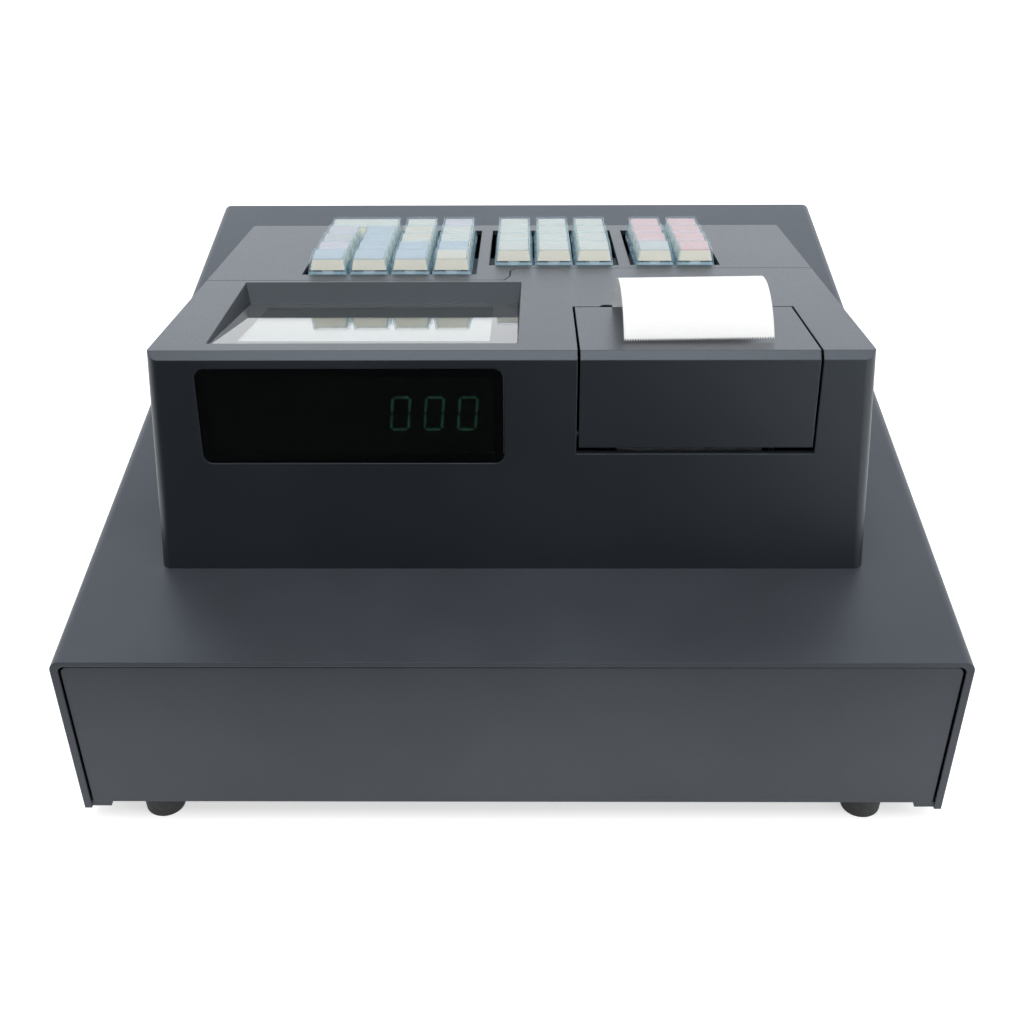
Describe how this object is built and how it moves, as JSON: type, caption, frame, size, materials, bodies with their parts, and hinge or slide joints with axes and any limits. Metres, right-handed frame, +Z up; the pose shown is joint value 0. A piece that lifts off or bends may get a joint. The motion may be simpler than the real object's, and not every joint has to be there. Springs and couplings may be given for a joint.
{
  "type": "ticket register",
  "caption": "Electronic ticket register on a cash drawer: sloping housing with keys, operator and customer displays, a receipt printer under a hinged cover, and a drawer with a tray.",
  "frame": {"origin": "centre of the footprint on the counter", "axes": "+X to the right seen by the customer, +Y towards the operator, where the drawer opens, +Z up"},
  "size_m": [0.35, 0.405, 0.1929],
  "materials": {
    "cabinet_paint": "satin grey powder coat",
    "zinc_steel": "zinc-plated sheet",
    "housing_plastic": "grey moulded ABS with a fine spark-eroded texture",
    "inner_plastic": "black moulded plastic",
    "tray_plastic": "black moulded plastic",
    "rubber": "black rubber",
    "window": "dark polished acrylic",
    "lock_metal": "chromed lock barrel",
    "paper": "white thermal paper",
    "circuit_board": "green circuit board",
    "key_white": "clear cap over a white insert",
    "key_blue": "clear cap over a light blue insert",
    "key_pale_blue": "clear cap over a pale blue insert",
    "key_lilac": "clear cap over a lilac insert",
    "key_cream": "clear cap over a cream insert",
    "key_pink": "clear cap over a pink insert"
  },
  "bodies": {
    "cabinet": {"cabinet_cover": "cabinet_paint", "cabinet_base": "cabinet_paint", "rubber_feet": "rubber", "head_base": "inner_plastic", "top_cover": "housing_plastic", "keyboard_panel": "housing_plastic", "display_windows": "window", "circuit_boards": "circuit_board", "switch_plate": "inner_plastic", "printer_mechanism": "zinc_steel", "latch_solenoid": "zinc_steel"},
    "drawer": {"drawer_pan": "zinc_steel", "drawer_front": "cabinet_paint", "cash_tray": "tray_plastic"},
    "lock": {"drawer_lock": "lock_metal"},
    "note_bar": {"note_holder": "tray_plastic"},
    "hook": {"latch_hook": "zinc_steel"},
    "cover": {"printer_cover": "housing_plastic", "receipt_strip": "paper"},
    "roll": {"paper_roll": "paper"},
    "platen": {"platen_roller": "rubber"},
    "keycap_01": {"key_01": "key_blue"},
    "keycap_02": {"key_02": "key_blue"},
    "keycap_03": {"key_03": "key_blue"},
    "keycap_04": {"key_04": "key_cream"},
    "keycap_05": {"key_05": "key_lilac"},
    "keycap_06": {"key_06": "key_blue"},
    "keycap_07": {"key_07": "key_blue"},
    "keycap_08": {"key_08": "key_blue"},
    "keycap_09": {"key_09": "key_lilac"},
    "keycap_10": {"key_10": "key_blue"},
    "keycap_11": {"key_11": "key_cream"},
    "keycap_12": {"key_12": "key_white"},
    "keycap_13": {"key_13": "key_lilac"},
    "keycap_14": {"key_14": "key_blue"},
    "keycap_15": {"key_15": "key_cream"},
    "keycap_16": {"key_16": "key_white"},
    "keycap_17": {"key_17": "key_white"},
    "keycap_18": {"key_18": "key_lilac"},
    "keycap_19": {"key_19": "key_white"},
    "keycap_20": {"key_20": "key_white"},
    "keycap_21": {"key_21": "key_white"},
    "keycap_22": {"key_22": "key_white"},
    "keycap_23": {"key_23": "key_white"},
    "keycap_24": {"key_24": "key_white"},
    "keycap_25": {"key_25": "key_white"},
    "keycap_26": {"key_26": "key_white"},
    "keycap_27": {"key_27": "key_white"},
    "keycap_28": {"key_28": "key_white"},
    "keycap_29": {"key_29": "key_white"},
    "keycap_30": {"key_30": "key_white"},
    "keycap_31": {"key_31": "key_white"},
    "keycap_32": {"key_32": "key_white"},
    "keycap_33": {"key_33": "key_white"},
    "keycap_34": {"key_34": "key_white"},
    "keycap_35": {"key_35": "key_white"},
    "keycap_36": {"key_36": "key_white"},
    "keycap_37": {"key_37": "key_white"},
    "keycap_38": {"key_38": "key_white"},
    "keycap_39": {"key_39": "key_white"}
  },
  "joints": [
    {"name": "drawer_slide", "type": "slide", "parent": "cabinet", "child": "drawer", "axis": [0, 1, 0], "range_m": [0, 0.3]},
    {"name": "printer_cover_hinge", "type": "hinge", "parent": "cabinet", "child": "cover", "pos_m": [0.071, -0.1342, 0.148], "axis": [1, 0, 0], "range_deg": [0, 75]},
    {"name": "paper_roll_turn", "type": "hinge", "parent": "cabinet", "child": "roll", "pos_m": [0.071, -0.10128, 0.13596], "axis": [1, 0, 0], "continuous": true},
    {"name": "platen_turn", "type": "hinge", "parent": "cabinet", "child": "platen", "pos_m": [0.071, -0.07348, 0.15296], "axis": [1, 0, 0], "continuous": true},
    {"name": "lock_turn", "type": "hinge", "parent": "drawer", "child": "lock", "pos_m": [0, 0.201, 0.0675], "axis": [0, -1, 0], "range_deg": [0, 90]},
    {"name": "note_bar_lift", "type": "hinge", "parent": "drawer", "child": "note_bar", "pos_m": [0, -0.1388, 0.0617], "axis": [1, 0, 0], "range_deg": [0, 50]},
    {"name": "latch_hook_turn", "type": "hinge", "parent": "cabinet", "child": "hook", "pos_m": [0, -0.1805, 0.0342], "axis": [0, 0, 1], "range_deg": [-10, 0]},
    {"name": "key_01_press", "type": "slide", "parent": "cabinet", "child": "keycap_01", "axis": [0, -0.2516, -0.9678], "range_m": [0, 0.0035], "stiffness_N_per_m": 120, "springref_m": -0.003},
    {"name": "key_02_press", "type": "slide", "parent": "cabinet", "child": "keycap_02", "axis": [0, -0.2516, -0.9678], "range_m": [0, 0.0035], "stiffness_N_per_m": 120, "springref_m": -0.003},
    {"name": "key_03_press", "type": "slide", "parent": "cabinet", "child": "keycap_03", "axis": [0, -0.2516, -0.9678], "range_m": [0, 0.0035], "stiffness_N_per_m": 120, "springref_m": -0.003},
    {"name": "key_04_press", "type": "slide", "parent": "cabinet", "child": "keycap_04", "axis": [0, -0.2516, -0.9678], "range_m": [0, 0.0035], "stiffness_N_per_m": 120, "springref_m": -0.003},
    {"name": "key_05_press", "type": "slide", "parent": "cabinet", "child": "keycap_05", "axis": [0, -0.2516, -0.9678], "range_m": [0, 0.0035], "stiffness_N_per_m": 120, "springref_m": -0.003},
    {"name": "key_06_press", "type": "slide", "parent": "cabinet", "child": "keycap_06", "axis": [0, -0.2516, -0.9678], "range_m": [0, 0.0035], "stiffness_N_per_m": 120, "springref_m": -0.003},
    {"name": "key_07_press", "type": "slide", "parent": "cabinet", "child": "keycap_07", "axis": [0, -0.2516, -0.9678], "range_m": [0, 0.0035], "stiffness_N_per_m": 120, "springref_m": -0.003},
    {"name": "key_08_press", "type": "slide", "parent": "cabinet", "child": "keycap_08", "axis": [0, -0.2516, -0.9678], "range_m": [0, 0.0035], "stiffness_N_per_m": 120, "springref_m": -0.003},
    {"name": "key_09_press", "type": "slide", "parent": "cabinet", "child": "keycap_09", "axis": [0, -0.2516, -0.9678], "range_m": [0, 0.0035], "stiffness_N_per_m": 120, "springref_m": -0.003},
    {"name": "key_10_press", "type": "slide", "parent": "cabinet", "child": "keycap_10", "axis": [0, -0.2516, -0.9678], "range_m": [0, 0.0035], "stiffness_N_per_m": 120, "springref_m": -0.003},
    {"name": "key_11_press", "type": "slide", "parent": "cabinet", "child": "keycap_11", "axis": [0, -0.2516, -0.9678], "range_m": [0, 0.0035], "stiffness_N_per_m": 120, "springref_m": -0.003},
    {"name": "key_12_press", "type": "slide", "parent": "cabinet", "child": "keycap_12", "axis": [0, -0.2516, -0.9678], "range_m": [0, 0.0035], "stiffness_N_per_m": 120, "springref_m": -0.003},
    {"name": "key_13_press", "type": "slide", "parent": "cabinet", "child": "keycap_13", "axis": [0, -0.2516, -0.9678], "range_m": [0, 0.0035], "stiffness_N_per_m": 120, "springref_m": -0.003},
    {"name": "key_14_press", "type": "slide", "parent": "cabinet", "child": "keycap_14", "axis": [0, -0.2516, -0.9678], "range_m": [0, 0.0035], "stiffness_N_per_m": 120, "springref_m": -0.003},
    {"name": "key_15_press", "type": "slide", "parent": "cabinet", "child": "keycap_15", "axis": [0, -0.2516, -0.9678], "range_m": [0, 0.0035], "stiffness_N_per_m": 120, "springref_m": -0.003},
    {"name": "key_16_press", "type": "slide", "parent": "cabinet", "child": "keycap_16", "axis": [0, -0.2516, -0.9678], "range_m": [0, 0.0035], "stiffness_N_per_m": 120, "springref_m": -0.003},
    {"name": "key_17_press", "type": "slide", "parent": "cabinet", "child": "keycap_17", "axis": [0, -0.2516, -0.9678], "range_m": [0, 0.0035], "stiffness_N_per_m": 120, "springref_m": -0.003},
    {"name": "key_18_press", "type": "slide", "parent": "cabinet", "child": "keycap_18", "axis": [0, -0.2516, -0.9678], "range_m": [0, 0.0035], "stiffness_N_per_m": 120, "springref_m": -0.003},
    {"name": "key_19_press", "type": "slide", "parent": "cabinet", "child": "keycap_19", "axis": [0, -0.2516, -0.9678], "range_m": [0, 0.0035], "stiffness_N_per_m": 120, "springref_m": -0.003},
    {"name": "key_20_press", "type": "slide", "parent": "cabinet", "child": "keycap_20", "axis": [0, -0.2516, -0.9678], "range_m": [0, 0.0035], "stiffness_N_per_m": 120, "springref_m": -0.003},
    {"name": "key_21_press", "type": "slide", "parent": "cabinet", "child": "keycap_21", "axis": [0, -0.2516, -0.9678], "range_m": [0, 0.0035], "stiffness_N_per_m": 120, "springref_m": -0.003},
    {"name": "key_22_press", "type": "slide", "parent": "cabinet", "child": "keycap_22", "axis": [0, -0.2516, -0.9678], "range_m": [0, 0.0035], "stiffness_N_per_m": 120, "springref_m": -0.003},
    {"name": "key_23_press", "type": "slide", "parent": "cabinet", "child": "keycap_23", "axis": [0, -0.2516, -0.9678], "range_m": [0, 0.0035], "stiffness_N_per_m": 120, "springref_m": -0.003},
    {"name": "key_24_press", "type": "slide", "parent": "cabinet", "child": "keycap_24", "axis": [0, -0.2516, -0.9678], "range_m": [0, 0.0035], "stiffness_N_per_m": 120, "springref_m": -0.003},
    {"name": "key_25_press", "type": "slide", "parent": "cabinet", "child": "keycap_25", "axis": [0, -0.2516, -0.9678], "range_m": [0, 0.0035], "stiffness_N_per_m": 120, "springref_m": -0.003},
    {"name": "key_26_press", "type": "slide", "parent": "cabinet", "child": "keycap_26", "axis": [0, -0.2516, -0.9678], "range_m": [0, 0.0035], "stiffness_N_per_m": 120, "springref_m": -0.003},
    {"name": "key_27_press", "type": "slide", "parent": "cabinet", "child": "keycap_27", "axis": [0, -0.2516, -0.9678], "range_m": [0, 0.0035], "stiffness_N_per_m": 120, "springref_m": -0.003},
    {"name": "key_28_press", "type": "slide", "parent": "cabinet", "child": "keycap_28", "axis": [0, -0.2516, -0.9678], "range_m": [0, 0.0035], "stiffness_N_per_m": 120, "springref_m": -0.003},
    {"name": "key_29_press", "type": "slide", "parent": "cabinet", "child": "keycap_29", "axis": [0, -0.2516, -0.9678], "range_m": [0, 0.0035], "stiffness_N_per_m": 120, "springref_m": -0.003},
    {"name": "key_30_press", "type": "slide", "parent": "cabinet", "child": "keycap_30", "axis": [0, -0.2516, -0.9678], "range_m": [0, 0.0035], "stiffness_N_per_m": 120, "springref_m": -0.003},
    {"name": "key_31_press", "type": "slide", "parent": "cabinet", "child": "keycap_31", "axis": [0, -0.2516, -0.9678], "range_m": [0, 0.0035], "stiffness_N_per_m": 120, "springref_m": -0.003},
    {"name": "key_32_press", "type": "slide", "parent": "cabinet", "child": "keycap_32", "axis": [0, -0.2516, -0.9678], "range_m": [0, 0.0035], "stiffness_N_per_m": 120, "springref_m": -0.003},
    {"name": "key_33_press", "type": "slide", "parent": "cabinet", "child": "keycap_33", "axis": [0, -0.2516, -0.9678], "range_m": [0, 0.0035], "stiffness_N_per_m": 120, "springref_m": -0.003},
    {"name": "key_34_press", "type": "slide", "parent": "cabinet", "child": "keycap_34", "axis": [0, -0.2516, -0.9678], "range_m": [0, 0.0035], "stiffness_N_per_m": 120, "springref_m": -0.003},
    {"name": "key_35_press", "type": "slide", "parent": "cabinet", "child": "keycap_35", "axis": [0, -0.2516, -0.9678], "range_m": [0, 0.0035], "stiffness_N_per_m": 120, "springref_m": -0.003},
    {"name": "key_36_press", "type": "slide", "parent": "cabinet", "child": "keycap_36", "axis": [0, -0.2516, -0.9678], "range_m": [0, 0.0035], "stiffness_N_per_m": 120, "springref_m": -0.003},
    {"name": "key_37_press", "type": "slide", "parent": "cabinet", "child": "keycap_37", "axis": [0, -0.2516, -0.9678], "range_m": [0, 0.0035], "stiffness_N_per_m": 120, "springref_m": -0.003},
    {"name": "key_38_press", "type": "slide", "parent": "cabinet", "child": "keycap_38", "axis": [0, -0.2516, -0.9678], "range_m": [0, 0.0035], "stiffness_N_per_m": 120, "springref_m": -0.003},
    {"name": "key_39_press", "type": "slide", "parent": "cabinet", "child": "keycap_39", "axis": [0, -0.2516, -0.9678], "range_m": [0, 0.0035], "stiffness_N_per_m": 120, "springref_m": -0.003}
  ],
  "couplings": [
    {"joint": "platen_turn", "follows": "paper_roll_turn", "ratio": 3.5714}
  ]
}
